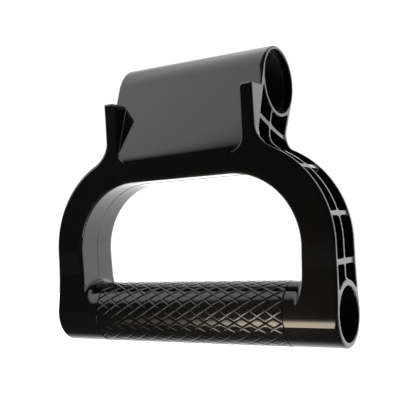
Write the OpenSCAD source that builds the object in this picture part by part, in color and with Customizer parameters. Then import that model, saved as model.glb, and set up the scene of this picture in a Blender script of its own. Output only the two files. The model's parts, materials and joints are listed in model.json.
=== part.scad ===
// D-shaped winch handle: one moulded body with a hand loop, a leaning hollow neck and a cross
// barrel for a shaft, and a knurled grip sleeve that turns on a core tube between the two collars.
// Millimetres. X runs along the grip, -Y is the front, +Z is up. Origin: centre of the grip.

/* [Grip] */
// Outside diameter of the grip sleeve and of the fixed collars beside it
grip_d = 31; // [30:0.5:34]
// Length of the turning, knurled sleeve
sleeve_length = 104.4; // [96:0.2:112]
// Gap between each end of the sleeve and the collar beside it
sleeve_gap = 0.3; // [0.3:0.1:0.6]
// Outside diameter of the core tube
core_d = 22; // [20:0.5:22]
// Wall thickness of the core tube
core_wall = 1.5; // [1:0.1:2]
// Diameter of the open bore at the outer end of each collar
collar_bore_d = 25.4; // [25:0.1:26]
// Depth of that bore, down to the end of the core tube
collar_bore_depth = 9; // [7:0.5:10]

/* [Loop] */
// Overall width of the hand loop
loop_width = 157; // [150:1:162]
// Depth of the loop, front to back
loop_depth = 27; // [25:0.5:29]
// Radius of the opening's upper corners
opening_r = 34.2; // [32:0.2:36]
// Thickness of the loop measured in the plane of the opening, at its corners
loop_band = 16.2; // [15:0.1:17]
// Height of the corner centres above the grip axis
corner_z = 32.3; // [30:0.1:36]
// How much the opening narrows from its corners down to the grip, each side
opening_taper = 1.3; // [0.5:0.1:2]

/* [Neck and barrel] */
// Outside diameter of the barrel
barrel_d = 35.4; // [35:0.1:37]
// Diameter of the moulded barrel bore
barrel_bore_d = 32; // [31:0.1:32.4]
// Length of the barrel, the neck and the span over both stop ears
barrel_length = 85.4; // [80:0.2:90]
// Height of the barrel axis above the grip axis
barrel_z = 112.6; // [110:0.2:116]
// Distance of the barrel axis behind the grip axis
barrel_y = 17.7; // [16:0.1:19]
// Backward lean of the front plate, degrees
front_lean = 20; // [18:0.5:22]
// Backward lean of the rear plate, degrees
rear_lean = 28.5; // [27:0.5:29]
// Width of each stop ear
ear_width = 6.8; // [6:0.2:8]
// Height of the ear tops above the grip axis
ear_z = 108.2; // [106:0.2:110]
// Radius of the hollow corner between the loop and each ear
shoulder_r = 8; // [6:0.5:10]

/* [Walls and ribs] */
// Thickness of the wall that faces the opening
floor_t = 3; // [2.5:0.1:3.5]
// Thickness of the loop's front and rear flanges
flange_t = 2.4; // [2:0.1:3]
// Thickness of the neck's front and rear plates
plate_t = 2.2; // [2:0.1:2.6]
// Thickness of the middle rib and of the cross ribs
rib_t = 2; // [1.6:0.1:2.4]

/* [Bearings] */
// Radial clearance between the core tube and the sleeve bushes
running_clearance = 0.05; // [0.02:0.01:0.1]
// Diameter of the shaft that the barrel bushes are made for
shaft_d = 30; // [29:0.5:30]
// Length of each barrel bush
barrel_bush_length = 12; // [8:0.5:16]
// How far each barrel bush sits inside the end of the barrel
barrel_bush_inset = 4; // [2:0.5:8]
// Length of each sleeve bush
sleeve_bush_length = 12; // [8:0.5:16]
// Wall thickness of each sleeve bush
sleeve_bush_wall = 1.55; // [1.2:0.05:1.6]
// Thickness of each thrust washer
washer_t = 0.9; // [0.8:0.1:1.2]
// How far each thrust washer's rim lies inside the outside of the sleeve
washer_step = 1.5; // [1.2:0.1:1.8]
// Thickness of each retaining ring
ring_t = 1.2; // [1:0.1:1.4]
// Depth of the groove that holds each retaining ring
ring_groove = 0.7; // [0.5:0.1:0.8]

/* [Hidden] */

$fn = 96;
eps = 0.1;
arc_step = 4;
loop_black = "#161616";
bush_grey = "#3a3a3a";
tube_dark = "#262729";
steel_dark = "#4a4b4d";

grip_r = grip_d / 2;
core_r = core_d / 2;
half_width = loop_width / 2;
half_depth = loop_depth / 2;
outer_r = opening_r + loop_band;
corner_x = half_width - outer_r;
opening_x = corner_x + opening_r;
opening_top = corner_z + opening_r;
neck_x = barrel_length / 2;
barrel_r = barrel_d / 2;
bore_r = barrel_bore_d / 2;

// Point of the barrel where a plate that leans by angle a touches it, side -1 front or 1 rear
function tangent(a, side) = [barrel_y + side * barrel_r * cos(a), barrel_z - side * barrel_r * sin(a)];
front_touch = tangent(front_lean, -1);
rear_touch = tangent(rear_lean, 1);
bend_z = front_touch[1] - (front_touch[0] + half_depth) / tan(front_lean);
rear_foot_z = rear_touch[1] - (rear_touch[0] - half_depth) / tan(rear_lean);
function front_y(z) = front_touch[0] - (front_touch[1] - z) * tan(front_lean);
function rear_y(z) = rear_touch[0] - (rear_touch[1] - z) * tan(rear_lean);

// Hollow corner between the loop's outer arc and the outer side of the ear
shoulder_x = neck_x + shoulder_r;
shoulder_reach = outer_r + shoulder_r;
shoulder_angle = acos((shoulder_x - corner_x) / shoulder_reach);
shoulder_z = corner_z + shoulder_reach * sin(shoulder_angle);

// Places along the outer arc, in degrees, and the height on the leg, where the cross ribs sit
rib_angles = [15.1, 46.6];
leg_rib_z = 23.8;
half_rib_angle = asin(rib_t / 2 / outer_r);
neck_angle = acos((neck_x - corner_x) / (opening_r + floor_t));

sleeve_half = sleeve_length / 2;
collar_face = sleeve_half + sleeve_gap;
core_half = half_width - collar_bore_depth;
core_bore_r = core_r - core_wall;
sleeve_bore_r = core_r + running_clearance + sleeve_bush_wall;
washer_face = collar_face - washer_t;
counterbore_x = washer_face - sleeve_gap;
washer_r = grip_r - washer_step;
groove_r = collar_bore_d / 2 + ring_groove;
rim_chamfer = 0.8;
edge_chamfer = 0.4;

function arc(c, r, a0, a1) = [
    let (n = ceil(abs(a1 - a0) / arc_step))
    for (i = [0:n]) c + r * [cos(a0 + (a1 - a0) * i / n), sin(a0 + (a1 - a0) * i / n)]
];
function flipped(points) = [for (p = points) [-p[0], p[1]]];
function reversed(points) = [for (i = [len(points) - 1:-1:0]) points[i]];

// Extrudes an outline drawn in X and Z from depth y0 to depth y1
module slab_y(y0, y1) {
    translate([0, y1, 0]) rotate([90, 0, 0]) linear_extrude(y1 - y0) children();
}

// Extrudes an outline drawn in Y and Z from x0 to x1
module slab_x(x0, x1) {
    translate([x0, 0, 0]) rotate([90, 0, 90]) linear_extrude(x1 - x0) children();
}

// Turns an outline of [distance along X, radius] points about the X axis
module turned(points) {
    rotate([0, 90, 0]) rotate_extrude() polygon([for (p = points) [p[1], p[0]]]);
}

// A ring about the X axis from x0 to x1, with chamfered outer corners
module turned_ring(x0, x1, r_in, r_out, chamfer) {
    turned([
        [x0, r_in], [x1, r_in], [x1, r_out - chamfer],
        [x1 - chamfer, r_out], [x0 + chamfer, r_out], [x0, r_out - chamfer]
    ]);
}

module rod_x(r, x0, x1) {
    translate([x0, 0, 0]) rotate([0, 90, 0]) cylinder(r = r, h = x1 - x0);
}

module both_sides() {
    children();
    mirror([1, 0, 0]) children();
}

// ---- handle body ----

module loop_plate() {
    corner = [corner_x, corner_z];
    outside = concat(
        [[half_width, 0]],
        arc(corner, outer_r, 0, shoulder_angle),
        arc([shoulder_x, shoulder_z], shoulder_r, shoulder_angle + 180, 180),
        [[neck_x - ear_width, shoulder_z], [neck_x - ear_width, bend_z]]
    );
    opening = concat(
        [[opening_x - opening_taper, 0]],
        arc(corner, opening_r, 0, 90)
    );
    slab_y(-half_depth, half_depth) {
        polygon(concat(outside, reversed(flipped(outside)), flipped(opening), reversed(opening)));
    }
}

module neck_and_barrel() {
    profile = concat(
        [[-half_depth, opening_top], [-half_depth, bend_z]],
        arc([barrel_y, barrel_z], barrel_r, 180 - front_lean, -rear_lean),
        [[half_depth, rear_foot_z], [half_depth, opening_top]]
    );
    slab_x(-neck_x, neck_x) polygon(profile);
}

module ears() {
    sink = 1;
    both_sides() slab_x(neck_x - ear_width, neck_x) polygon([
        [-half_depth, bend_z], [-half_depth, ear_z],
        [front_y(ear_z) + sink, ear_z], [front_y(bend_z) + sink, bend_z]
    ]);
}

module collars() {
    both_sides() turned_ring(collar_face, half_width, core_r, grip_r, rim_chamfer);
}

// The channel in the loop's outer edge between two angles of its arc
module arc_pocket(a0, a1) {
    corner = [corner_x, corner_z];
    clear_r = outer_r + shoulder_r;
    polygon(concat(
        arc(corner, opening_r + floor_t, a0, a1),
        [corner + clear_r * [cos(a1), sin(a1)], corner + clear_r * [cos(a0), sin(a0)]]
    ));
}

// All channel pockets of the right leg and corner, as one outline in X and Z
module channel_outline() {
    pocket_x = corner_x + opening_r + floor_t;
    half_rib = rib_t / 2;
    translate([pocket_x, 0]) square([loop_band, leg_rib_z - half_rib]);
    translate([pocket_x, leg_rib_z + half_rib]) {
        square([loop_band, corner_z - leg_rib_z - half_rib + eps]);
    }
    arc_pocket(0, rib_angles[0] - half_rib_angle);
    arc_pocket(rib_angles[0] + half_rib_angle, rib_angles[1] - half_rib_angle);
    shoulder_pocket(rib_angles[1] + half_rib_angle);
}

// The last channel pocket, which opens into the end of the neck
module shoulder_pocket(a0) {
    corner = [corner_x, corner_z];
    clear_r = outer_r + shoulder_r;
    top_z = shoulder_z + shoulder_r;
    polygon(concat(
        arc(corner, opening_r + floor_t, a0, neck_angle),
        [[neck_x, top_z], [shoulder_x, top_z], corner + clear_r * [cos(a0), sin(a0)]]
    ));
}

module channel_pockets() {
    difference() {
        union() {
            slab_y(-half_depth + flange_t, -rib_t / 2) channel_outline();
            slab_y(rib_t / 2, half_depth - flange_t) channel_outline();
        }
        rod_x(grip_r, 0, half_width + loop_band);
    }
}

// The hollow of one end of the neck, in Y and Z, split by the middle rib and the cross rib
module neck_pocket() {
    web = 3;
    foot_z = opening_top + floor_t;
    front_in = plate_t / cos(front_lean);
    rear_in = plate_t / cos(rear_lean);
    knee = [5.3, 87.2];
    knee_foot_z = 80;
    rib_top = [9, 97];
    cross_front = [-9, 95.4];
    cross_rear = [27, 81.6];
    half_rib = [rib_t / 2, 0];
    half_cross = [0, rib_t / 2];
    difference() {
        slab_x(web / 2, neck_x + eps) polygon([
            [-half_depth + flange_t, foot_z], [-half_depth + flange_t, bend_z],
            [front_y(barrel_z) + front_in, barrel_z],
            [rear_y(rear_touch[1]) - rear_in, rear_touch[1]], [rear_y(foot_z) - rear_in, foot_z]
        ]);
        translate([0, barrel_y, barrel_z]) rod_x(barrel_r, 0, neck_x + loop_band);
        slab_x(0, neck_x + loop_band) polygon([
            [-rib_t / 2, opening_top], [-rib_t / 2, knee_foot_z], knee - half_rib, rib_top - half_rib,
            rib_top + half_rib, knee + half_rib, [rib_t / 2, knee_foot_z], [rib_t / 2, opening_top]
        ]);
        slab_x(0, neck_x + loop_band) polygon([
            cross_front - half_cross, cross_rear - half_cross,
            cross_rear + half_cross, cross_front + half_cross
        ]);
    }
}

module collar_bores() {
    both_sides() {
        rod_x(core_r, collar_face - eps, half_width);
        rod_x(collar_bore_d / 2, core_half, half_width + eps);
        rod_x(groove_r, core_half, core_half + ring_t);
    }
}

module handle_body() {
    color(loop_black) difference() {
        union() {
            difference() {
                union() {
                    loop_plate();
                    neck_and_barrel();
                    ears();
                }
                both_sides() {
                    channel_pockets();
                    neck_pocket();
                }
                translate([0, barrel_y, barrel_z]) rod_x(bore_r, -neck_x - eps, neck_x + eps);
            }
            collars();
        }
        collar_bores();
    }
}

// ---- barrel bushes ----

module barrel_bush(side) {
    x_out = neck_x - barrel_bush_inset;
    color(bush_grey) translate([0, barrel_y, barrel_z]) mirror([side < 0 ? 1 : 0, 0, 0]) {
        turned_ring(x_out - barrel_bush_length, x_out, shaft_d / 2, bore_r, edge_chamfer);
    }
}

module barrel_bush_left() {
    barrel_bush(-1);
}

module barrel_bush_right() {
    barrel_bush(1);
}

// ---- grip ----

module core_tube() {
    color(tube_dark) turned_ring(-core_half, core_half, core_bore_r, core_r, edge_chamfer);
}

module grip_sleeve() {
    lip_r = washer_r + sleeve_gap;
    color(loop_black) turned([
        [-counterbore_x, sleeve_bore_r], [counterbore_x, sleeve_bore_r],
        [counterbore_x, lip_r], [sleeve_half, lip_r],
        [sleeve_half, grip_r - edge_chamfer], [sleeve_half - edge_chamfer, grip_r],
        [-sleeve_half + edge_chamfer, grip_r], [-sleeve_half, grip_r - edge_chamfer],
        [-sleeve_half, lip_r], [-counterbore_x, lip_r]
    ]);
}

module sleeve_bush(side) {
    color(bush_grey) mirror([side < 0 ? 1 : 0, 0, 0]) turned_ring(
        counterbore_x - sleeve_bush_length, counterbore_x,
        core_r + running_clearance, sleeve_bore_r, edge_chamfer
    );
}

module sleeve_bush_left() {
    sleeve_bush(-1);
}

module sleeve_bush_right() {
    sleeve_bush(1);
}

module thrust_washer(side) {
    color(bush_grey) mirror([side < 0 ? 1 : 0, 0, 0]) turned_ring(
        washer_face, collar_face, core_r + running_clearance, washer_r, edge_chamfer / 2
    );
}

module thrust_washer_left() {
    thrust_washer(-1);
}

module thrust_washer_right() {
    thrust_washer(1);
}

// An open ring with two pierced lugs, as seated in its groove against the end of the core tube
module retaining_ring(side) {
    ring_r = (core_bore_r + core_r) / 2;
    lug_margin = 0.2;
    lug_r = (groove_r - core_bore_r) / 2 - lug_margin;
    lug_hole_r = 0.75;
    lug_centre_r = core_bore_r + lug_margin + lug_r;
    gap = 1.6;
    lug_angle = asin((lug_r + gap / 2) / lug_centre_r);
    color(steel_dark) mirror([side < 0 ? 1 : 0, 0, 0]) difference() {
        union() {
            difference() {
                rod_x(groove_r, core_half, core_half + ring_t);
                rod_x(ring_r, core_half - eps, core_half + ring_t + eps);
            }
            for (a = [-lug_angle, lug_angle]) {
                rotate([a, 0, 0]) translate([0, 0, -lug_centre_r]) {
                    rod_x(lug_r, core_half, core_half + ring_t);
                }
            }
        }
        translate([core_half - eps, -gap / 2, -groove_r - eps]) cube([ring_t + 2 * eps, gap, groove_r]);
        for (a = [-lug_angle, lug_angle]) {
            rotate([a, 0, 0]) translate([0, 0, -lug_centre_r]) {
                rod_x(lug_hole_r, core_half - eps, core_half + ring_t + eps);
            }
        }
    }
}

module retaining_ring_left() {
    retaining_ring(-1);
}

module retaining_ring_right() {
    retaining_ring(1);
}

handle_body();
barrel_bush_left();
barrel_bush_right();
core_tube();
grip_sleeve();
sleeve_bush_left();
sleeve_bush_right();
thrust_washer_left();
thrust_washer_right();
retaining_ring_left();
retaining_ring_right();
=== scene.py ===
"""Looks for the winch handle: the moulded body, the knurled sleeve, the bearings and the studio.

Metres throughout, in the row frame: +X along the grip, -Y the front, +Z up, origin at the grip's centre.
"""
import json
import math

import bpy
import numpy as np
import openvdb
from mathutils import Matrix, Vector


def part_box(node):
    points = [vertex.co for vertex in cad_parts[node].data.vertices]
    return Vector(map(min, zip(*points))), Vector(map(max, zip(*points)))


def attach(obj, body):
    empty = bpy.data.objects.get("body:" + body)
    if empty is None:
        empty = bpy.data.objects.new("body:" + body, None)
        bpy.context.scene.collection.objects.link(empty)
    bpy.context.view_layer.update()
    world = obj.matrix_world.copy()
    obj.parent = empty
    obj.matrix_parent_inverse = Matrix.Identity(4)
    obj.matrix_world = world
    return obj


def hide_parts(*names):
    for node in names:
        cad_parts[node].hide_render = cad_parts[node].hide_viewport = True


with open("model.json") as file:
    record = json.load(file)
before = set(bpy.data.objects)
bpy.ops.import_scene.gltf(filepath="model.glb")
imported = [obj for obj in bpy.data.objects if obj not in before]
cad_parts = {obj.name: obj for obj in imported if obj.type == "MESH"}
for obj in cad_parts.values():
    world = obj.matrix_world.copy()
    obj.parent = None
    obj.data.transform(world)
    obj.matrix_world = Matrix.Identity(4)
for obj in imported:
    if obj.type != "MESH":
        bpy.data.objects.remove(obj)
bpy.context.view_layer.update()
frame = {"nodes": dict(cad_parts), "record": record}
nodes = frame["nodes"]
mounts = {m["name"]: m for m in frame["record"]["mounts"]}

MM = 0.001

# ---- sizes read from the frame ----

BODY_LOW, BODY_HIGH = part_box("handle_body")
SLEEVE_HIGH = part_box("grip_sleeve")[1]
WASHER_LOW, WASHER_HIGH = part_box("thrust_washer_right")
RING_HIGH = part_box("retaining_ring_right")[1]
TUBE_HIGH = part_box("core_tube")[1]
BUSH_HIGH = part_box("sleeve_bush_right")[1]
HALF_WIDTH = BODY_HIGH.x
GRIP_R = SLEEVE_HIGH.z
SLEEVE_HALF = SLEEVE_HIGH.x
SLEEVE_BORE_R = BUSH_HIGH.z
COUNTERBORE_X = BUSH_HIGH.x
SLEEVE_GAP = WASHER_LOW.x - BUSH_HIGH.x
LIP_R = WASHER_HIGH.z + SLEEVE_GAP
COLLAR_FACE = WASHER_HIGH.x
CORE_HALF = TUBE_HIGH.x
CORE_R = TUBE_HIGH.z
RING_END = RING_HIGH.x
GROOVE_R = RING_HIGH.z
BARREL_Y, BARREL_Z = mounts["barrel_bore"]["pos_m"][1:]
BARREL_R = BODY_HIGH.z - BARREL_Z
BARREL_BORE_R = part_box("barrel_bush_right")[1].z - BARREL_Z
HALF_DEPTH = -mounts["stop_face"]["pos_m"][1]

# ---- sizes of the moulding that the frame's boxes don't hold ----

# outlines seen from the front: neck, ears, loop, hand opening, and the recess between the ears
NECK_X = 42.7 * MM
EAR_WIDTH = 6.8 * MM
EAR_Z = 108.2 * MM
OUTER_R = 49 * MM
OUTER_X = HALF_WIDTH - OUTER_R
OUTER_Z = 33 * MM
SHOULDER_R = 8 * MM
OPENING_R = 34.4 * MM
OPENING_X = 27.7 * MM
OPENING_Z = 32.1 * MM
OPENING_TAPER = 1.3 * MM
RECESS_FOOT_Z = 76.5 * MM
RECESS_CORNER_R = 7 * MM

# faces seen from the side: the leaning plates, and how they and the loop flow into each other
FRONT_LEAN = math.radians(20)
REAR_LEAN = math.radians(28.5)
BEND_EARLY = 0.87 * MM
BEND_SOFT = 1.6 * MM
LEG_FLOW_R = 130 * MM
FLOW_X = 52 * MM
REAR_SOFT = 0.4 * MM

# walls, ribs and bores
COLLAR_BORE_R = 12.7 * MM
FLOOR_T = 3 * MM
FLANGE_T = 2.4 * MM
PLATE_T = 2.2 * MM
FRONT_FLOW = 12 * MM
WEB_HALF = 1.5 * MM
MID_RIB_HALF = 0.65 * MM
MID_RIB_DRAFT = 0.035
CROSS_RIB_HALF = 1.25 * MM
RIB_RECESS = 0.8 * MM
RIB_FILLET_R = 1.6 * MM
RIB_ANGLES = (math.radians(15.1), math.radians(46.6))
LEG_RIB_Z = 23.8 * MM
KNEE_Z = (80 * MM, 87.2 * MM, 97 * MM)
KNEE_Y = (0.0, 5.3 * MM, 9 * MM)
CROSS_RIB_FRONT = (-9 * MM, 95.4 * MM)
CROSS_RIB_REAR = (27 * MM, 81.6 * MM)

# roundings
EAR_TOP_R = 2.2 * MM
EAR_ROOT_R = 0.6 * MM
OUTER_EDGE_R = 0.9 * MM
LOOP_EDGE_R = 1.9 * MM
SUNK_DEPTH = 3 * MM
OPENING_EDGE_R = 1.7 * MM
OPENING_EDGE_FADE = 6 * MM
INNER_CORNER_R = 1.4 * MM
FINE_EDGE_R = 0.45 * MM
COLLAR_BLEND_R = 3.5 * MM
COLLAR_RIM_R = 1.3 * MM
BARREL_EDGE_R = 0.8 * MM
BARREL_EDGE_STRETCH = 0.8

# the mesh: its cells, and how it is thinned and pulled on to the field
VOXEL = 0.34 * MM
SLAB_ROWS = 24
FIELD_BAND = 3
MESH_ADAPTIVITY = 0.02
TRIANGLE_LIMIT = 190000
PULL_STEPS = 3
PULL_REACH = 0.02 * MM
LEAST_SLOPE_SQUARE = 0.05
LEAST_LENGTH = 1e-9


# ---- distance fields: negative inside the solid ----

def meet(a, b, r=0.0):
    """Both a and b, with the edge between them rounded by r."""
    return np.minimum(np.maximum(a, b), -r) + np.hypot(np.maximum(a + r, 0), np.maximum(b + r, 0))


def join(a, b, r=0.0):
    """Either a or b, with the corner between them filled by a fillet of radius r."""
    return np.maximum(np.minimum(a, b), r) - np.hypot(np.maximum(r - a, 0), np.maximum(r - b, 0))


def rounded_corner(u, v, r):
    """The quadrant u < 0, v < 0 grown by r, so that its corner is an arc of radius r."""
    return np.hypot(np.maximum(u, 0), np.maximum(v, 0)) + np.minimum(np.maximum(u, v), 0) - r


def plate_line(lean, side):
    """Where a plate that leans by lean touches the barrel, front (-1) or rear (1)."""
    return BARREL_Y + side * BARREL_R * math.cos(lean), BARREL_Z - side * BARREL_R * math.sin(lean)


def eased(rise, whole):
    """Zero well below the bend, then curving up to be whole where rise is whole."""
    above = np.maximum(rise + BEND_EARLY, 0)
    most = whole + BEND_EARLY
    return above ** 2 / (above + BEND_SOFT) * (most + BEND_SOFT) * whole / most ** 2


def loop_face(depth, z, from_grip):
    """The loop's flat face at HALF_DEPTH, which runs down through a hollow arc into the grip's round."""
    centre_depth = HALF_DEPTH + LEG_FLOW_R
    centre_z = math.sqrt((GRIP_R + LEG_FLOW_R) ** 2 - centre_depth ** 2)
    arc = LEG_FLOW_R - np.hypot(depth - centre_depth, z - centre_z)
    face = np.where(z > centre_z, depth - HALF_DEPTH, arc)
    return np.where(z * centre_depth < depth * centre_z, from_grip - GRIP_R, face)


def ribs_field(x, y, z, flow, outline):
    """The middle rib and the cross ribs of the channel and of the neck's ends."""
    rise = np.interp(z, KNEE_Z, KNEE_Y).astype(y.dtype)
    middle = np.abs(y - rise * flow) - MID_RIB_HALF + MID_RIB_DRAFT * np.minimum(outline, 0)
    cross = np.abs(z - LEG_RIB_Z) - CROSS_RIB_HALF
    for angle in RIB_ANGLES:
        c, s = math.cos(angle), math.sin(angle)
        u, v = x - OUTER_X, z - OUTER_Z
        cross = np.minimum(cross, np.maximum(np.abs(c * v - s * u) - CROSS_RIB_HALF, -c * u - s * v))
    run, drop = CROSS_RIB_REAR[0] - CROSS_RIB_FRONT[0], CROSS_RIB_REAR[1] - CROSS_RIB_FRONT[1]
    sloping = np.abs((z - CROSS_RIB_FRONT[1]) * run - (y - CROSS_RIB_FRONT[0]) * drop)
    sloping = np.maximum(sloping / math.hypot(run, drop) - CROSS_RIB_HALF, x - FLOW_X)
    return np.maximum(join(middle, np.minimum(cross, sloping), RIB_FILLET_R), outline + RIB_RECESS)


def bores_field(x, from_barrel, from_grip):
    """The barrel bore, and the stepped bore and ring groove of each collar."""
    groove = np.maximum(from_grip - GROOVE_R, np.maximum(CORE_HALF - x, x - RING_END))
    mouth = np.maximum(from_grip - COLLAR_BORE_R, CORE_HALF - x)
    seat = np.minimum(from_grip - CORE_R, np.minimum(groove, mouth))
    return np.minimum(from_barrel - BARREL_BORE_R, seat)


def body_field(points):
    """The distance to the moulded body, close to true near its surface, at an array of points."""
    x, y, z = np.abs(points[..., 0]), points[..., 1], points[..., 2]
    from_barrel = np.hypot(y - BARREL_Y, z - BARREL_Z)
    from_grip = np.hypot(y, z)

    # outlines seen from the front
    outline = join(rounded_corner(x - OUTER_X, z - OUTER_Z, OUTER_R), x - NECK_X, SHOULDER_R)
    taper = OPENING_TAPER * np.clip(1 - z / OPENING_Z, 0, 1)
    opening = rounded_corner(x - OPENING_X + taper, z - OPENING_Z, OPENING_R)
    recess_x = NECK_X - EAR_WIDTH - RECESS_CORNER_R
    recess = rounded_corner(x - recess_x, RECESS_FOOT_Z + RECESS_CORNER_R - z, RECESS_CORNER_R)

    # front: the loop and the ears in one plane, and the plate that leans back between the ears
    touch_y, touch_z = plate_line(FRONT_LEAN, -1)
    whole = touch_y + HALF_DEPTH
    behind = eased(whole + (z - touch_z) * math.tan(FRONT_LEAN), whole)
    lean = (behind - HALF_DEPTH - y) * math.cos(FRONT_LEAN)
    from_foot = np.clip((z - RECESS_FOOT_Z) / RECESS_CORNER_R, 0, 1)
    shape = join(meet(-recess, z - EAR_Z, EAR_TOP_R), lean, EAR_ROOT_R * from_foot)
    heights = (0, 2 * GRIP_R, RECESS_FOOT_Z, EAR_Z)
    radii = (COLLAR_RIM_R, LOOP_EDGE_R, LOOP_EDGE_R, OUTER_EDGE_R)
    outer_edge = np.interp(z, heights, radii).astype(y.dtype)
    front = loop_face(-y, z, from_grip)
    shape = meet(shape, front, OUTER_EDGE_R * from_foot)
    sunk = np.clip(-front / SUNK_DEPTH, 0, 1)
    solid = meet(outline, shape, outer_edge + (FINE_EDGE_R - outer_edge) * sunk)

    # rear: the loop's plane flows back into the leaning rear plate
    touch_y, touch_z = plate_line(REAR_LEAN, 1)
    back = touch_y - (touch_z - z) * math.tan(REAR_LEAN) - HALF_DEPTH
    back = (back + np.hypot(back, 2 * REAR_SOFT)) / 2
    flow = np.clip((FLOW_X - x) / (FLOW_X - NECK_X), 0, 1)
    flow = flow * flow * (3 - 2 * flow)
    steep = 1 - (1 - math.cos(REAR_LEAN)) * flow * np.clip(back / (4 * REAR_SOFT), 0, 1)
    rear = loop_face(y - flow * back, z, from_grip) * steep
    solid = meet(solid, rear, OUTER_EDGE_R)

    # the wall of the opening, with a fillet on to the collar
    above_grip = from_grip - GRIP_R
    wall = join(-opening, np.maximum(above_grip, COLLAR_FACE - x), COLLAR_BLEND_R)
    solid = meet(solid, wall, OPENING_EDGE_R * np.clip(above_grip / OPENING_EDGE_FADE, 0, 1))

    # the barrel, which ends the neck
    mean_lean = (FRONT_LEAN + REAR_LEAN) / 2
    above = (y - BARREL_Y) * math.sin(mean_lean) + (z - BARREL_Z) * math.cos(mean_lean)
    barrel = meet(from_barrel - BARREL_R, (x - NECK_X) * BARREL_EDGE_STRETCH, BARREL_EDGE_R)
    solid = np.minimum(np.maximum(solid, np.maximum(above, -z)), barrel)

    # collars of the grip
    collar = meet(above_grip, COLLAR_FACE - x, FINE_EDGE_R)
    solid = np.minimum(solid, meet(collar, x - HALF_WIDTH, COLLAR_RIM_R))

    # the channel in the outer edge and the hollow of the neck
    pocket = np.maximum(FLANGE_T - HALF_DEPTH - y, lean + PLATE_T - FRONT_FLOW * (1 - flow))
    pocket = meet(pocket, rear + FLANGE_T, INNER_CORNER_R)
    pocket = meet(pocket, FLOOR_T - opening, INNER_CORNER_R)
    pocket = meet(pocket, np.maximum(BARREL_R - from_barrel, above), INNER_CORNER_R)
    pocket = meet(pocket, -above_grip, INNER_CORNER_R)
    pocket = np.maximum(pocket, WEB_HALF - x)
    pocket = meet(pocket, -ribs_field(x, y, z, flow, outline), INNER_CORNER_R)

    solid = meet(solid, -pocket, FINE_EDGE_R)
    return meet(solid, -bores_field(x, from_barrel, from_grip), FINE_EDGE_R)


def field_gradient(field, points, reach):
    """The slope of a field along the three axes, from values a reach to either side of each point."""
    slopes = np.empty_like(points)
    for axis in range(3):
        step = np.zeros(3)
        step[axis] = reach
        slopes[:, axis] = (field(points + step) - field(points - step)) / (2 * reach)
    return slopes


# ---- building ----

def object_from(name, points, faces, body, smooth=True):
    """A mesh object in the scene, riding on a body where one is named."""
    mesh = bpy.data.meshes.new(name)
    mesh.from_pydata(points, [], faces)
    mesh.validate()
    obj = bpy.data.objects.new(name, mesh)
    bpy.context.scene.collection.objects.link(obj)
    mesh.polygons.foreach_set("use_smooth", [smooth] * len(mesh.polygons))
    mesh.update()
    if body:
        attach(obj, body)
    return obj


def mesh_of_field(field, low, high, voxel):
    """Points, and triangles and quads, of the zero surface of a field that is even in x."""
    margin = FIELD_BAND * voxel
    nx = int((high[0] + margin) / voxel) + 1
    y = np.arange(low[1] - margin, high[1] + margin, voxel, dtype=np.float32)
    z = np.arange(low[2] - margin, high[2] + margin, voxel, dtype=np.float32)
    x = (np.arange(nx, dtype=np.float32) + 0.5) * voxel
    values = np.empty((nx, len(y), len(z)), np.float32)
    for start in range(0, nx, SLAB_ROWS):
        rows = x[start:start + SLAB_ROWS]
        cells = np.stack(np.meshgrid(rows, y, z, indexing="ij"), axis=-1)
        values[start:start + SLAB_ROWS] = field(cells)
    values = np.clip(values / voxel, -FIELD_BAND, FIELD_BAND)
    values = np.concatenate([values[::-1], values])
    grid = openvdb.FloatGrid(FIELD_BAND)
    grid.copyFromArray(np.ascontiguousarray(values))
    points, triangles, quads = grid.convertToPolygons(0.0, MESH_ADAPTIVITY)
    points = np.asarray(points, float) * voxel
    points += [(0.5 - nx) * voxel, y[0], z[0]]
    return points, triangles, quads


def pull_onto(field, points):
    """Moves points on to the zero surface of a field, and gives them with its outward directions."""
    for _ in range(PULL_STEPS):
        slopes = field_gradient(field, points, PULL_REACH)
        square = np.maximum((slopes ** 2).sum(1), LEAST_SLOPE_SQUARE)
        points = points - np.clip(field(points) / square, -VOXEL, VOXEL)[:, None] * slopes
    slopes = field_gradient(field, points, PULL_REACH)
    return points, slopes / np.maximum(np.linalg.norm(slopes, axis=1), LEAST_LENGTH)[:, None]


def moulded_body():
    """The body's mesh, thinned, pulled back on to the field and shaded with the field's directions."""
    points, triangles, quads = mesh_of_field(body_field, BODY_LOW, BODY_HIGH, VOXEL)
    body = object_from("moulded_body", points, triangles.tolist() + quads.tolist(), None)
    count = len(triangles) + 2 * len(quads)
    if count > TRIANGLE_LIMIT:
        reduce = body.modifiers.new("reduce", "DECIMATE")
        reduce.ratio = TRIANGLE_LIMIT / count
        reduce.use_symmetry = True
        evaluated = body.evaluated_get(bpy.context.evaluated_depsgraph_get())
        reduced = bpy.data.meshes.new_from_object(evaluated)
        body.modifiers.clear()
        body.data = reduced
    mesh = body.data
    flat = np.empty(len(mesh.vertices) * 3)
    mesh.vertices.foreach_get("co", flat)
    points, directions = pull_onto(body_field, flat.reshape(-1, 3))
    mesh.vertices.foreach_set("co", points.ravel())
    mesh.update()
    mesh.normals_split_custom_set_from_vertices(directions.tolist())
    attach(body, "frame")
    return body


# ---- parting line round the opening ----

SEAM_HALF = 0.22 * MM
SEAM_HEIGHT = 0.14 * MM
SEAM_SINK = 0.05 * MM
SEAM_FOOT_Z = GRIP_R + COLLAR_BLEND_R
SEAM_STEP = math.radians(3)
SEAM_LEG_POINTS = 12
SEAM_TOP_POINTS = 8


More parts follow.
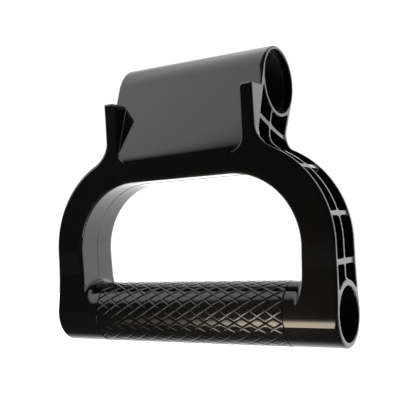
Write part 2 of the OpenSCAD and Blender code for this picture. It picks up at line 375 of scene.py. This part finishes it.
def opening_path():
    """Points and inward directions round the opening's wall, from the left collar to the right one."""
    top = OPENING_Z + OPENING_R
    half = []
    for z in np.linspace(SEAM_FOOT_Z, OPENING_Z, SEAM_LEG_POINTS)[:-1]:
        taper = OPENING_TAPER * (1 - z / OPENING_Z)
        half.append(((OPENING_X + OPENING_R - taper, z), (-1.0, 0.0)))
    for a in np.arange(0, math.pi / 2, SEAM_STEP):
        c, s = math.cos(a), math.sin(a)
        half.append(((OPENING_X + OPENING_R * c, OPENING_Z + OPENING_R * s), (-c, -s)))
    for x in np.linspace(OPENING_X, 0, SEAM_TOP_POINTS):
        half.append(((x, top), (0.0, -1.0)))
    left = [((-p[0], p[1]), (-d[0], d[1])) for p, d in half[:-1]]
    return left + half[::-1]


def parting_line():
    """A low three-sided ridge in the middle of the opening's wall, with its foot sunk in the body."""
    points, faces = [], []
    path = opening_path()
    for (x, z), (dx, dz) in path:
        for y, height in ((-SEAM_HALF, -SEAM_SINK), (0, SEAM_HEIGHT), (SEAM_HALF, -SEAM_SINK)):
            points.append((x + dx * height, y, z + dz * height))
    for i in range(len(path) - 1):
        for k in range(3):
            a, b = 3 * i + k, 3 * i + (k + 1) % 3
            faces.append((a, b, b + 3, a + 3))
    last = 3 * (len(path) - 1)
    faces += [(2, 1, 0), (last, last + 1, last + 2)]
    return object_from("parting_line", points, faces, "frame", smooth=False)


# ---- knurled sleeve ----

KNURL_STARTS = 18
KNURL_STEPS = 20
KNURL_PITCH = 8 * MM
KNURL_HALF = 0.12
KNURL_DEPTH = 0.2 * MM
KNURL_EDGE = 0.15 * MM
KNURL_SHARP = math.radians(14)


def knurl_offset(turns, along):
    """How far the surface lies under the crests, where turns and along count pattern repeats."""
    deepest = np.zeros(np.broadcast(turns, along).shape)
    for family in (turns - along, turns + along):
        away = np.abs(family - np.round(family))
        deepest = np.maximum(deepest, np.clip(1 - away / KNURL_HALF, 0, 1))
    return deepest * KNURL_DEPTH


def knurled_sleeve():
    """The sleeve as one lathe-like grid, whose outer rows carry the grooves of two crossing helices."""
    around = KNURL_STARTS * KNURL_STEPS
    rows = round(2 * SLEEVE_HALF / KNURL_PITCH * KNURL_STEPS)
    steps = np.arange(rows + 1)
    angle = 2 * math.pi * np.arange(around) / around
    turns = np.arange(around)[None, :] / KNURL_STEPS
    along = steps[:, None] / KNURL_STEPS
    x = -SLEEVE_HALF + 2 * SLEEVE_HALF * steps / rows
    radius = GRIP_R - knurl_offset(turns, along)
    rim = GRIP_R - KNURL_EDGE * np.clip(1 - (SLEEVE_HALF - np.abs(x)) / KNURL_EDGE, 0, 1)
    radius = np.minimum(radius, rim[:, None])
    inner = [
        (SLEEVE_HALF, LIP_R), (COUNTERBORE_X, LIP_R), (COUNTERBORE_X, SLEEVE_BORE_R),
        (-COUNTERBORE_X, SLEEVE_BORE_R), (-COUNTERBORE_X, LIP_R), (-SLEEVE_HALF, LIP_R),
    ]
    x = np.concatenate([x, [p[0] for p in inner]])
    radius = np.vstack([radius, [[p[1]] * around for p in inner]])
    y = radius * np.sin(angle)[None, :]
    z = radius * np.cos(angle)[None, :]
    points = np.stack([np.repeat(x[:, None], around, axis=1), y, z], axis=-1).reshape(-1, 3)

    faces = []
    total = len(x)
    for i in range(total):
        for j in range(around):
            a, b = i * around + j, i * around + (j + 1) % around
            c, d = (i + 1) % total * around + (j + 1) % around, (i + 1) % total * around + j
            if i >= rows:
                faces.append((a, b, c, d))
                continue
            rising = abs((j - i + KNURL_STEPS / 2) % KNURL_STEPS - KNURL_STEPS / 2)
            falling = abs((j + i + 1 + KNURL_STEPS / 2) % KNURL_STEPS - KNURL_STEPS / 2)
            faces += [(a, b, c), (a, c, d)] if rising <= falling else [(a, b, d), (b, c, d)]
    sleeve = object_from("knurled_sleeve", points, [f[::-1] for f in faces], "grip")
    sleeve.data.set_sharp_from_angle(angle=KNURL_SHARP)
    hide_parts("grip_sleeve")
    return sleeve


# ---- materials ----

GLOSS_SHADES = ((0.004, 0.004, 0.0043), (0.009, 0.0088, 0.0083))
GLOSS_SHADE_SIZE = 12 * MM
GLOSS_MARK_SIZE = 7 * MM
GLOSS_MARK_DETAIL = 5.0
GLOSS_ROUGH_SHARES = (0.7, 1.4)
GLOSS_WAVE_SIZE = 16 * MM
GLOSS_GRAIN_SIZE = 0.7 * MM
GLOSS_GRAIN_SHARE = 0.012
PLASTIC_IOR = 1.5

DARK_GREYS = ((0.020, 0.020, 0.022), (0.034, 0.034, 0.036))
OXIDE_GREYS = ((0.035, 0.035, 0.038), (0.055, 0.055, 0.06))
SATIN_SHADE_SIZE = 3 * MM
SATIN_ROUGH_SIZE = 1.5 * MM
SATIN_ROUGH_SHARES = (0.8, 1.25)
RING_GRAIN_SIZE = 1 * MM
RING_GRAIN_STRETCH = (4.0, 0.15, 0.15)
RING_GRAIN_HEIGHT = 0.004 * MM

NODE_EDGE = 0.12 * MM
NODE_EDGE_ANGLE = math.radians(35)


def new_material(name):
    """A material with its node tree, its shader and the object's own coordinates."""
    material = bpy.data.materials.new(name)
    material.use_nodes = True
    tree = material.node_tree
    shader = tree.nodes["Principled BSDF"]
    place = tree.nodes.new("ShaderNodeTexCoord").outputs["Object"]
    return material, tree, shader, place


def noise(tree, place, size, detail=3.0, stretch=None):
    """A noise value whose features are about size metres across."""
    if stretch:
        mapping = tree.nodes.new("ShaderNodeMapping")
        mapping.inputs["Scale"].default_value = stretch
        tree.links.new(place, mapping.inputs["Vector"])
        place = mapping.outputs["Vector"]
    node = tree.nodes.new("ShaderNodeTexNoise")
    node.inputs["Scale"].default_value = 1 / size
    node.inputs["Detail"].default_value = detail
    tree.links.new(place, node.inputs["Vector"])
    return node.outputs["Fac"]


def spread(tree, value, ends, span=(0.3, 0.7), soft=False):
    """A value that runs from the first to the second of ends while the given one crosses the span."""
    node = tree.nodes.new("ShaderNodeMapRange")
    if soft:
        node.interpolation_type = "SMOOTHSTEP"
    node.inputs["From Min"].default_value = span[0]
    node.inputs["From Max"].default_value = span[1]
    node.inputs["To Min"].default_value = ends[0]
    node.inputs["To Max"].default_value = ends[1]
    tree.links.new(value, node.inputs["Value"])
    return node.outputs["Result"]


def mixed_colour(tree, value, shades):
    """The first of two colours where the value is 0, and the second where it is 1."""
    node = tree.nodes.new("ShaderNodeMix")
    node.data_type = "RGBA"
    node.inputs["A"].default_value = (*shades[0], 1)
    node.inputs["B"].default_value = (*shades[1], 1)
    tree.links.new(value, node.inputs["Factor"])
    return node.outputs["Result"]


def bump(tree, shader, value, height, before=None):
    """Raises the surface by up to height where the value is 1, on top of an earlier bump."""
    node = tree.nodes.new("ShaderNodeBump")
    node.inputs["Distance"].default_value = height
    node.inputs["Strength"].default_value = 1.0
    tree.links.new(value, node.inputs["Height"])
    if before:
        tree.links.new(before, node.inputs["Normal"])
    tree.links.new(node.outputs["Normal"], shader.inputs["Normal"])
    return node.outputs["Normal"]


def uneven(tree, shader, shade, shades, rough, roughness, shares):
    """Links a colour between two shades, and a roughness between two shares of its usual value."""
    tree.links.new(mixed_colour(tree, shade, shades), shader.inputs["Base Color"])
    ends = [roughness * share for share in shares]
    tree.links.new(spread(tree, rough, ends), shader.inputs["Roughness"])


def gloss_black(name, roughness, wave):
    """High-gloss moulded plastic: near black, with a faint flow waviness and fine handling marks."""
    material, tree, shader, place = new_material(name)
    shade = noise(tree, place, GLOSS_SHADE_SIZE)
    marks = noise(tree, place, GLOSS_MARK_SIZE, GLOSS_MARK_DETAIL)
    uneven(tree, shader, shade, GLOSS_SHADES, marks, roughness, GLOSS_ROUGH_SHARES)
    shader.inputs["IOR"].default_value = PLASTIC_IOR
    slow = bump(tree, shader, noise(tree, place, GLOSS_WAVE_SIZE, 1.0), wave)
    bump(tree, shader, noise(tree, place, GLOSS_GRAIN_SIZE, 2.0), wave * GLOSS_GRAIN_SHARE, slow)
    return material


def satin_dark(name, shades, metallic, roughness):
    """Turned or moulded inner parts: satin, with a fine ring grain about the X axis."""
    material, tree, shader, place = new_material(name)
    shade = noise(tree, place, SATIN_SHADE_SIZE)
    marks = noise(tree, place, SATIN_ROUGH_SIZE)
    uneven(tree, shader, shade, shades, marks, roughness, SATIN_ROUGH_SHARES)
    shader.inputs["Metallic"].default_value = metallic
    rings = noise(tree, place, RING_GRAIN_SIZE, 2.0, RING_GRAIN_STRETCH)
    bump(tree, shader, rings, RING_GRAIN_HEIGHT)
    return material


def dress(obj, material):
    """Gives a new object its only material."""
    obj.data.materials.clear()
    obj.data.materials.append(material)


def dress_node(name, material):
    """Gives a CAD node its finish on its object's slots, and softens its edges."""
    obj = nodes[name]
    for slot in obj.material_slots:
        slot.link = "OBJECT"
        slot.material = material
    edges = obj.modifiers.new("softened_edges", "BEVEL")
    edges.width = NODE_EDGE
    edges.segments = 2
    edges.limit_method = "ANGLE"
    edges.angle_limit = NODE_EDGE_ANGLE


# ---- studio: plain sheets of light, each with a height, corners or edges, and a strength ----

FLOOR_HALF = 1.5
FLOOR_Z = -GRIP_R - 0.2 * MM
FLOOR_GLOW = 2.0

SHADE_FADE = (-0.0115, -0.003)
SHADE_GLOW = 0.1
SHADE_Z = FLOOR_Z + 0.1 * MM

BACKDROP_Y = 0.25
BACKDROP_FADE = (0.17, 0.3)
BACKDROP_GLOW = (2.1, 1.1)

PANEL_Z = 0.165
PANEL_TURN = math.radians(24)
PANEL_FRONT = -0.0875
PANEL_REAR = 0.02
PANEL_SOFT = 0.034
PANEL_EDGE = PANEL_FRONT - PANEL_SOFT
PANEL_CORNERS = [(-0.6, PANEL_EDGE), (-0.6, 0.36), (0.32, 0.36), (0.068, 0.04), (-0.078, PANEL_EDGE)]
PANEL_GLOW = 1.95
PANEL_REAR_SHARE = 0.56

WARM_COLOUR = (1.0, 0.86, 0.68)
WARM_Z = FLOOR_Z + 0.2 * MM
WARM_X = (-0.055, 0.071)
WARM_Y = (-0.085, -0.0275)
WARM_BRIGHT_Y = -0.037
WARM_STRIP_Y = -0.062
WARM_STRIP_X = (-0.02, 0.03)
WARM_STRIP_SHARES = (0.1, 1.0)
WARM_STRIP_GLOW = 0.8
WARM_FADE_GLOW = (0.05, 0.25)
WARM_ALONG_X = (-0.05, 0.045)
WARM_ALONG_GLOW = (2.6, 9.5)

WORLD_GLOW = 0.05
WORLD_SEEN = 1.05

CAMERA_AT = Vector((0.1910, -0.3194, 0.0417))
CAMERA_YAW = math.radians(29.96)
CAMERA_PITCH = math.radians(1.79)
CAMERA_ROLL = math.radians(-3.01)
CAMERA_LENS = 65.1
CAMERA_SENSOR = 36


def glow_material(name, strength, colour=(1, 1, 1)):
    """A surface that only gives light, evenly if strength is a number, or as strength(tree) shapes it."""
    material = bpy.data.materials.new(name)
    material.use_nodes = True
    tree = material.node_tree
    tree.nodes.remove(tree.nodes["Principled BSDF"])
    emission = tree.nodes.new("ShaderNodeEmission")
    emission.inputs["Color"].default_value = (*colour, 1)
    if callable(strength):
        tree.links.new(strength(tree), emission.inputs["Strength"])
    else:
        emission.inputs["Strength"].default_value = strength
    tree.links.new(emission.outputs["Emission"], tree.nodes["Material Output"].inputs["Surface"])
    return material


def ramp_along(tree, axis, span, ends):
    """A soft ramp along an axis of the sheet, between two places and between two values."""
    place = tree.nodes.new("ShaderNodeTexCoord")
    split = tree.nodes.new("ShaderNodeSeparateXYZ")
    tree.links.new(place.outputs["Object"], split.inputs["Vector"])
    return spread(tree, split.outputs[axis], ends, span, soft=True)


def combined(tree, operation, first, second):
    """The sum or product of two values."""
    node = tree.nodes.new("ShaderNodeMath")
    node.operation = operation
    tree.links.new(first, node.inputs[0])
    tree.links.new(second, node.inputs[1])
    return node.outputs["Value"]


def shade_strength(tree):
    """Dark in front of the object, and as pale as the floor under it."""
    return ramp_along(tree, "Y", SHADE_FADE, (SHADE_GLOW, FLOOR_GLOW))


def backdrop_strength(tree):
    """A little darker above the object."""
    return ramp_along(tree, "Z", BACKDROP_FADE, BACKDROP_GLOW)


def panel_strength(tree):
    """Full in the middle, and fading softly to the front and partly to the rear."""
    front = ramp_along(tree, "Y", (PANEL_EDGE, PANEL_FRONT + PANEL_SOFT), (0.0, PANEL_GLOW))
    rear = ramp_along(tree, "Y", (PANEL_REAR, PANEL_REAR + PANEL_SOFT), (1.0, PANEL_REAR_SHARE))
    return combined(tree, "MULTIPLY", front, rear)


def warm_strength(tree):
    """Brightest on the right and towards the grip, and fading softly to the front."""
    along = ramp_along(tree, "X", WARM_ALONG_X, WARM_ALONG_GLOW)
    near = ramp_along(tree, "Y", (WARM_STRIP_Y, WARM_BRIGHT_Y), (0.0, WARM_STRIP_GLOW))
    right = ramp_along(tree, "X", WARM_STRIP_X, WARM_STRIP_SHARES)
    strip = combined(tree, "MULTIPLY", near, right)
    fading = ramp_along(tree, "Y", (WARM_Y[0], WARM_BRIGHT_Y), WARM_FADE_GLOW)
    return combined(tree, "MULTIPLY", combined(tree, "ADD", strip, fading), along)


def plain_sheet(name, corners, material, seen=False):
    """A flat sheet of the studio. One that isn't seen lights the object and shows only in its gloss."""
    sheet = object_from(name, corners, [tuple(range(len(corners)))], None, smooth=False)
    dress(sheet, material)
    sheet.visible_camera = seen
    return sheet


def level_sheet(name, corners, height, material, seen=False):
    """A plain sheet that lies level at a height."""
    return plain_sheet(name, [(x, y, height) for x, y in corners], material, seen)


def rectangle(across, up):
    """The corners of a rectangle, from its two limits each way."""
    return [(across[0], up[0]), (across[1], up[0]), (across[1], up[1]), (across[0], up[1])]


def studio_world():
    """White behind the object, and nearly dark in its gloss, so that only the sheets light it."""
    world = bpy.data.worlds.new("studio_world")
    bpy.context.scene.world = world
    world.use_nodes = True
    tree = world.node_tree
    path = tree.nodes.new("ShaderNodeLightPath")
    mix = tree.nodes.new("ShaderNodeMix")
    mix.inputs["A"].default_value = WORLD_GLOW
    mix.inputs["B"].default_value = WORLD_SEEN
    tree.links.new(path.outputs["Is Camera Ray"], mix.inputs["Factor"])
    background = tree.nodes["Background"]
    background.inputs["Color"].default_value = (1, 1, 1, 1)
    tree.links.new(mix.outputs["Result"], background.inputs["Strength"])


def studio():
    """The pale floor, the sheets of light round the object, and the world."""
    wide = (-FLOOR_HALF, FLOOR_HALF)
    pale = glow_material("plain_floor", FLOOR_GLOW)
    level_sheet("studio_floor", rectangle(wide, (-FLOOR_HALF, BACKDROP_Y)), FLOOR_Z, pale, seen=True)

    shade = glow_material("front_shade", shade_strength)
    level_sheet("front_shade", rectangle(wide, (-FLOOR_HALF, SHADE_FADE[1])), SHADE_Z, shade)

    back = glow_material("plain_backdrop", backdrop_strength)
    corners = [(x, BACKDROP_Y, z) for x, z in rectangle(wide, (FLOOR_Z, FLOOR_HALF))]
    plain_sheet("studio_backdrop", corners, back)

    panel = level_sheet("overhead_panel", PANEL_CORNERS, 0, glow_material("overhead_panel", panel_strength))
    panel.location.z = PANEL_Z
    panel.rotation_euler.z = PANEL_TURN

    warm = glow_material("warm_light", warm_strength, WARM_COLOUR)
    level_sheet("warm_light", rectangle(WARM_X, WARM_Y), WARM_Z, warm)
    studio_world()


def place_camera():
    """The camera at its fitted place, turned by yaw, pitch and roll."""
    data = bpy.data.cameras.new("camera")
    data.lens = CAMERA_LENS
    data.sensor_width = CAMERA_SENSOR
    camera = bpy.data.objects.new("camera", data)
    bpy.context.scene.collection.objects.link(camera)
    level = Vector((math.cos(CAMERA_YAW), math.sin(CAMERA_YAW), 0))
    ahead = Vector((-math.sin(CAMERA_YAW), math.cos(CAMERA_YAW), 0)) * math.cos(CAMERA_PITCH)
    ahead.z = math.sin(CAMERA_PITCH)
    rise = level.cross(ahead)
    right = level * math.cos(CAMERA_ROLL) + rise * math.sin(CAMERA_ROLL)
    up = rise * math.cos(CAMERA_ROLL) - level * math.sin(CAMERA_ROLL)
    turn = Matrix((right, up, -ahead)).transposed()
    camera.matrix_world = Matrix.Translation(CAMERA_AT) @ turn.to_4x4()
    bpy.context.scene.camera = camera


# ---- the scene ----

place_camera()
bpy.context.scene.view_settings.view_transform = "Standard"

body_black = gloss_black("body_gloss_black", roughness=0.06, wave=0.02 * MM)
grip_black = gloss_black("grip_gloss_black", roughness=0.09, wave=0.01 * MM)
bearing_plastic = satin_dark("bearing_plastic", DARK_GREYS, metallic=0.0, roughness=0.4)
anodised = satin_dark("black_anodised_tube", DARK_GREYS, metallic=0.9, roughness=0.3)
oxide_steel = satin_dark("black_oxide_steel", OXIDE_GREYS, metallic=1.0, roughness=0.38)

body = moulded_body()
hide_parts("handle_body")
dress(body, body_black)
dress(parting_line(), body_black)
dress(knurled_sleeve(), grip_black)
dress_node("core_tube", anodised)
for side in ("left", "right"):
    for kind in ("barrel_bush_", "sleeve_bush_", "thrust_washer_"):
        dress_node(kind + side, bearing_plastic)
    dress_node("retaining_ring_" + side, oxide_steel)
studio()
